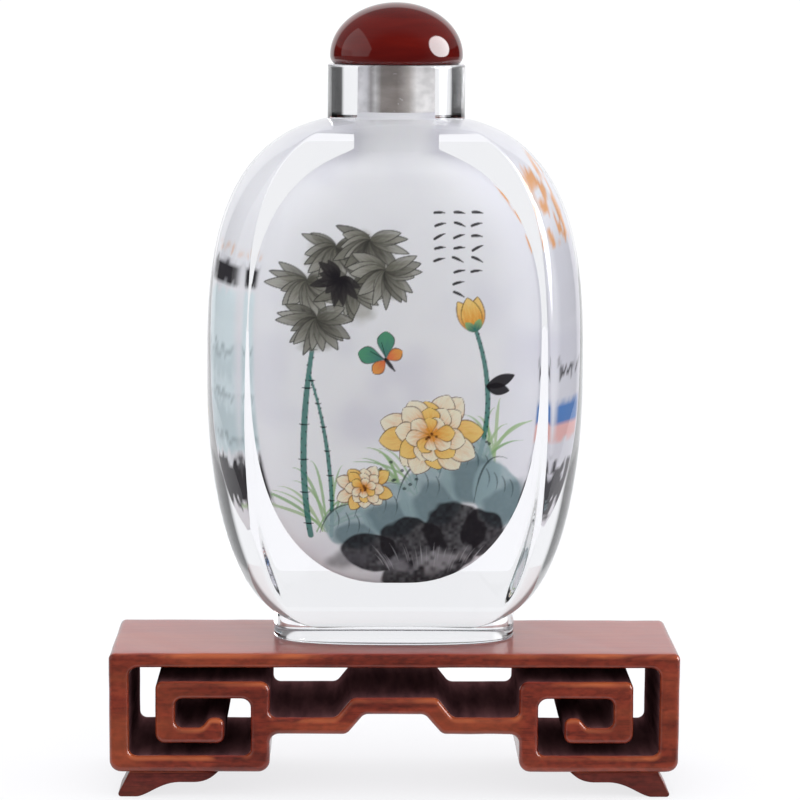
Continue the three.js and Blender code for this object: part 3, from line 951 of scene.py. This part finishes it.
def make_world():
    """A white sweep behind the glass with dark flags beside it.

    Matt surfaces get an even, brighter light, and the camera sees plain white.
    """
    world = bpy.data.worlds.new("studio")
    bpy.context.scene.world = world
    world.cycles.sampling_method = "NONE"
    world.use_nodes = True
    tree = world.node_tree
    tree.nodes.clear()
    path = add_node(tree, "LightPath")
    outward = add_node(tree, "TexCoord").outputs["Generated"]

    def facing(direction):
        inputs = {0: outward, 1: Vector(direction).normalized()}
        return add_node(tree, "VectorMath", inputs, operation="DOT_PRODUCT").outputs["Value"]

    def ramp(value, low, high, amount, kind="SMOOTHSTEP"):
        inputs = {"Value": value, "From Min": low, "From Max": high, "To Max": amount}
        return add_node(tree, "MapRange", inputs, interpolation_type=kind).outputs["Result"]

    def patch(direction, inner, outer, strength):
        """strength inside inner degrees of a direction, falling to 0 at outer degrees."""
        rim, full = math.cos(math.radians(outer)), math.cos(math.radians(inner))
        return ramp(facing(direction), rim, full, strength)

    def combined(operation, a, b):
        return add_node(tree, "Math", {0: a, 1: b}, operation=operation).outputs["Value"]

    def background(strength):
        return add_node(tree, "Background", {"Color": (0.985, 0.99, 1), "Strength": strength}).outputs[0]

    def choose(share, a, b):
        return add_node(tree, "MixShader", {0: share, 1: a, 2: b}).outputs[0]

    # The sweep behind the object, on a dim room that is dimmer still behind the camera.
    pattern = combined("ADD", 0.27, patch((0, 1, 0), 38, 44, 0.69))
    pattern = combined("ADD", pattern, patch((0, -1, 0.1), 40, 75, -0.17))
    # Two dark flags at eye height, beside the sweep.
    level = combined("MULTIPLY", ramp(facing((0, 0, 1)), -0.085, -0.06, 1.0),
                     ramp(facing((0, 0, -1)), -0.2, -0.08, 1.0))
    for side in (1, -1):
        flag = combined("MULTIPLY", patch((side, 0.42, 0), 24, 31, 1.0), level)
        pattern = combined("SUBTRACT", pattern, combined("MULTIPLY", flag, 0.6))
    pattern = combined("MAXIMUM", pattern, 0.045)
    # A round lamp at the right, and at the left a soft box that is cut off along three straight edges.
    pattern = combined("ADD", pattern, patch((1, -0.1, 0.33), 20, 23, 12.0))
    softbox = patch((-0.97, 0.13, -0.2), 58, 60, 0.6)
    softbox = combined("MULTIPLY", softbox, ramp(facing((0, 0, 1)), -0.06, -0.02, 1.0))
    for side in ((-0.24, -0.53, 0.06), (-0.21, 0.23, 0.08)):
        softbox = combined("MULTIPLY", softbox, ramp(facing(side), 0.02, 0.07, 1.0))
    pattern = combined("ADD", pattern, softbox)
    # A second sweep on the other side, for what is seen through the glass from behind.
    behind = combined("MULTIPLY", patch((0, -1, 0), 38, 44, 0.80), path.outputs["Is Transmission Ray"])
    pattern = combined("ADD", pattern, behind)
    even = combined("ADD", ramp(facing((0.45, 0.05, 1)), -1.0, 1.0, 1.2, "LINEAR"), 0.8)
    lit = combined("GREATER_THAN", path.outputs["Diffuse Depth"], 0.5)
    shown = choose(lit, background(pattern), background(even))
    add_node(tree, "OutputWorld", {"Surface": choose(path.outputs["Is Camera Ray"], shown, background(1.05))})


def make_floor():
    """A round floor that glows of itself, so that the object's shade on it stays faint."""
    rim = circles([(FLOOR_RADIUS, 0)], 96)[0]
    floor = new_object("floor", rim, [range(len(rim))], (0, FLOOR_BACK * MM, 0))
    material, shader = new_material("floor")
    set_inputs(shader, {
        "Base Color": (0.15, 0.15, 0.155), "Roughness": 0.9, "Specular IOR Level": 0.1,
        "Emission Color": (0.985, 0.985, 1), "Emission Strength": 0.77,
    })
    dress(floor, material)


# ---- Materials ----

def new_material(name):
    material = bpy.data.materials.new(name)
    material.use_nodes = True
    return material, material.node_tree.nodes["Principled BSDF"]


def dress(piece, *materials):
    for material in materials:
        piece.data.materials.append(material)


def stretched_noise(tree, stretch, scale, detail, distortion=0.0):
    """Noise over the piece, in metres, that is finer along an axis with a larger stretch."""
    place = add_node(tree, "TexCoord").outputs["Object"]
    place = add_node(tree, "Mapping", {"Vector": place, "Scale": stretch}).outputs["Vector"]
    inputs = {"Vector": place, "Scale": scale, "Detail": detail, "Distortion": distortion}
    return add_node(tree, "TexNoise", inputs).outputs["Fac"]


def coloured(tree, value, stops):
    """The colour of a value on a ramp through (place, colour) stops."""
    node = add_node(tree, "ValToRGB", {"Fac": value})
    elements = node.color_ramp.elements
    while len(elements) < len(stops):
        elements.new(0.5)
    for element, (place, colour) in zip(elements, stops):
        element.position = place
        element.color = (*colour, 1)
    return node.outputs["Color"]


def blend(tree, factor, a, b, kind="MIX"):
    """Mixes two colours; each of the three inputs is a socket or a plain value."""
    inputs = {"Factor": factor, "A": a, "B": b}
    return add_node(tree, "Mix", inputs, data_type="RGBA", blend_type=kind).outputs["Result"]


def crystal_material():
    material, shader = new_material("crystal")
    set_inputs(shader, {
        "Base Color": (0.95, 0.953, 0.97), "Transmission Weight": 1.0, "Roughness": 0.0, "IOR": 1.5,
    })
    return material


def painted_frost_material():
    """Ground glass under water colour: the colour of each point, matt, with a fine tooth."""
    material, shader = new_material("painted_frost")
    tree = material.node_tree
    paint = add_node(tree, "Attribute", attribute_name="paint")
    place = add_node(tree, "TexCoord").outputs["Object"]
    tooth = add_node(tree, "TexNoise", {"Vector": place, "Scale": 5200, "Detail": 3})
    bump = add_node(tree, "Bump", {"Strength": 0.15, "Distance": 0.00005, "Height": tooth.outputs["Fac"]})
    set_inputs(shader, {
        "Base Color": blend(tree, 0.10, paint.outputs["Color"], tooth.outputs["Color"], "MULTIPLY"),
        "Roughness": 0.85, "Specular IOR Level": 0.0, "Normal": bump.outputs["Normal"],
    })
    return material


def agate_material():
    """Deep red stone with faint level bands."""
    material, shader = new_material("agate")
    tree = material.node_tree
    bands = stretched_noise(tree, (1, 1, 5), 70, 3, 0.8)
    stone = coloured(tree, bands, [(0.3, (0.054, 0.0009, 0.0008)), (0.7, (0.092, 0.0032, 0.0015))])
    set_inputs(shader, {"Base Color": stone, "Roughness": 0.03, "IOR": 1.55})
    return material


def plug_material():
    """Taupe paste, whitened at its left rim as a painted reflection and towards its right side as a painted
    highlight.
    """
    material, shader = new_material("plug_paste")
    tree = material.node_tree
    place = add_node(tree, "TexCoord").outputs["Object"]
    axes = add_node(tree, "SeparateXYZ", {"Vector": place})
    across = add_node(tree, "MapRange", {
        "Value": axes.outputs["X"],
        "From Min": bottle_foot.x - BORE_RADIUS * MM, "From Max": bottle_foot.x + BORE_RADIUS * MM,
    })
    # across the plug from left to right: a whitish rim (painted reflection), a thin darker line, taupe, then
    # paling to white (painted highlight)
    paste = coloured(tree, across.outputs["Result"], [
        (0.0, (0.85, 0.84, 0.86)), (0.07, (0.72, 0.71, 0.73)), (0.12, (0.40, 0.38, 0.38)),
        (0.18, (0.66, 0.65, 0.65)), (0.27, (0.30, 0.268, 0.25)), (0.5, (0.28, 0.245, 0.225)),
        (0.68, (0.52, 0.48, 0.45)), (0.80, (0.96, 0.94, 0.92)),
    ])
    clouds = stretched_noise(tree, (1, 1, 1.6), 420, 5)
    mottle = coloured(tree, clouds, [(0.35, (0.82, 0.82, 0.82)), (0.65, (1.1, 1.1, 1.1))])
    grains = stretched_noise(tree, (1, 1, 1), 1500, 4)
    chalk = coloured(tree, grains, [(0.68, (0, 0, 0)), (0.75, (0.7, 0.7, 0.7))])
    colour = blend(tree, 1.0, paste, mottle, "MULTIPLY")
    colour = blend(tree, chalk, colour, (0.8, 0.79, 0.78))
    set_inputs(shader, {"Base Color": colour, "Roughness": 0.7})
    return material


def wood_material(name, dark, middle, bright, orange, wax):
    """Red hardwood, waxed from 0 to 1: grain along X, pores, flecks, and orange where rubbed or warm; the
    rubbed orange, on edges that face up, is also a painted highlight.

    Faces that look up are painted a paler pink: a painted sheen.
    """
    material, shader = new_material(name)
    tree = material.node_tree
    grain = stretched_noise(tree, (1, 12, 12), 45, 8, 0.5)
    figure = stretched_noise(tree, (1, 2.2, 2.2), 55, 3, 1.5)
    pores = stretched_noise(tree, (1, 18, 18), 240, 2)
    flecks = stretched_noise(tree, (1, 2, 2), 900, 4)
    glow = stretched_noise(tree, (1, 3.5, 3.5), 38, 3, 0.8)
    colour = coloured(tree, grain, [(0.28, dark), (0.5, middle), (0.75, bright)])
    for share, noise, stops in (
        (1.0, figure, [(0.35, (0.78, 0.72, 0.70)), (0.65, (1.0, 1.0, 1.0))]),
        (0.6, pores, [(0.30, (0.45, 0.4, 0.4)), (0.40, (1, 1, 1))]),
        (1.0, flecks, [(0.36, (0.70, 0.68, 0.68)), (0.60, (1.08, 1.06, 1.04))]),
    ):
        colour = blend(tree, share, colour, coloured(tree, noise, stops), "MULTIPLY")
    axes = add_node(tree, "SeparateXYZ", {"Vector": add_node(tree, "NewGeometry").outputs["Normal"]})
    # painted sheen: faces that look up are mixed towards a paler pink
    painted_top_sheen = add_node(tree, "MapRange", {"Value": axes.outputs["Z"], "From Min": 0.75, "To Max": 0.6})
    colour = blend(tree, painted_top_sheen.outputs["Result"], colour, (0.36, 0.075, 0.062))
    # the orange of rubbed edges that face up, which is also a painted highlight
    edge_rub_and_highlight = add_node(tree, "Attribute", attribute_name="edge_rub_and_highlight").outputs["Fac"]
    patchy = coloured(tree, figure, [(0.42, (0, 0, 0)), (0.66, (1, 1, 1))])
    rubbing_and_highlight = add_node(tree, "Math", {0: edge_rub_and_highlight, 1: patchy}, operation="MULTIPLY").outputs["Value"]
    colour = blend(tree, rubbing_and_highlight, colour, orange)
    warm = coloured(tree, glow, [(0.48, (0, 0, 0)), (0.72, (0.28, 0.28, 0.28))])
    colour = blend(tree, warm, colour, orange)
    bump = add_node(tree, "Bump", {"Strength": 0.3, "Distance": 0.0001, "Height": grain})
    set_inputs(shader, {
        "Base Color": colour, "Roughness": 0.35, "Specular IOR Level": 0.3 * wax, "Coat Weight": 0.5 * wax,
        "Coat Roughness": 0.1, "Normal": bump.outputs["Normal"],
    })
    return material


def inside_wood_material():
    """The same wood deep inside the openings and under the arches, darkened as painted shade, matt and without
    shine.
    """
    material, shader = new_material("rosewood_in_painted_shade")
    tree = material.node_tree
    grain = stretched_noise(tree, (6, 1, 6), 90, 5)
    colour = coloured(tree, grain, [(0.3, (0.055, 0.022, 0.025)), (0.7, (0.130, 0.056, 0.060))])
    set_inputs(shader, {"Base Color": colour, "Roughness": 0.8, "Specular IOR Level": 0.0})
    return material


# ---- Making it ----

make_camera()
make_world()
make_floor()
dress(make_glass(), crystal_material())
painted_frost = painted_frost_material()
dress(make_frosted_wall(), painted_frost)
dress(make_ground_mouth(), painted_frost)
for front, face in ((True, "front"), (False, "back")):
    dress(make_painting(f"painting_{face}_left", front, -PAINT_REACH, 0.0), painted_frost)
    dress(make_painting(f"painting_{face}_right", front, 0.0, PAINT_REACH), painted_frost)
dress(make_dome(), agate_material())
dress(make_plug(), plug_material())
# a dark copy of the wood for the insides and undersides: painted shade
painted_shade_wood = inside_wood_material()
rosewood = wood_material(
    "rosewood", dark=(0.102, 0.011, 0.005), middle=(0.168, 0.019, 0.007), bright=(0.214, 0.031, 0.012),
    orange=(0.36, 0.080, 0.022), wax=1.0,
)
dress(make_fret(), rosewood, painted_shade_wood)
# The feet get a darker copy of the rosewood, with less wax: painted shade for their place under the board.
foot_wood_in_painted_shade = wood_material(
    "foot_rosewood", dark=(0.050, 0.007, 0.006), middle=(0.088, 0.012, 0.009), bright=(0.125, 0.020, 0.013),
    orange=(0.20, 0.05, 0.028), wax=0.3,
)
for node in sorted(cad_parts):
    if node.startswith("stand_foot"):
        dress(make_foot(node), foot_wood_in_painted_shade, painted_shade_wood)

bpy.context.scene.view_settings.view_transform = "Standard"
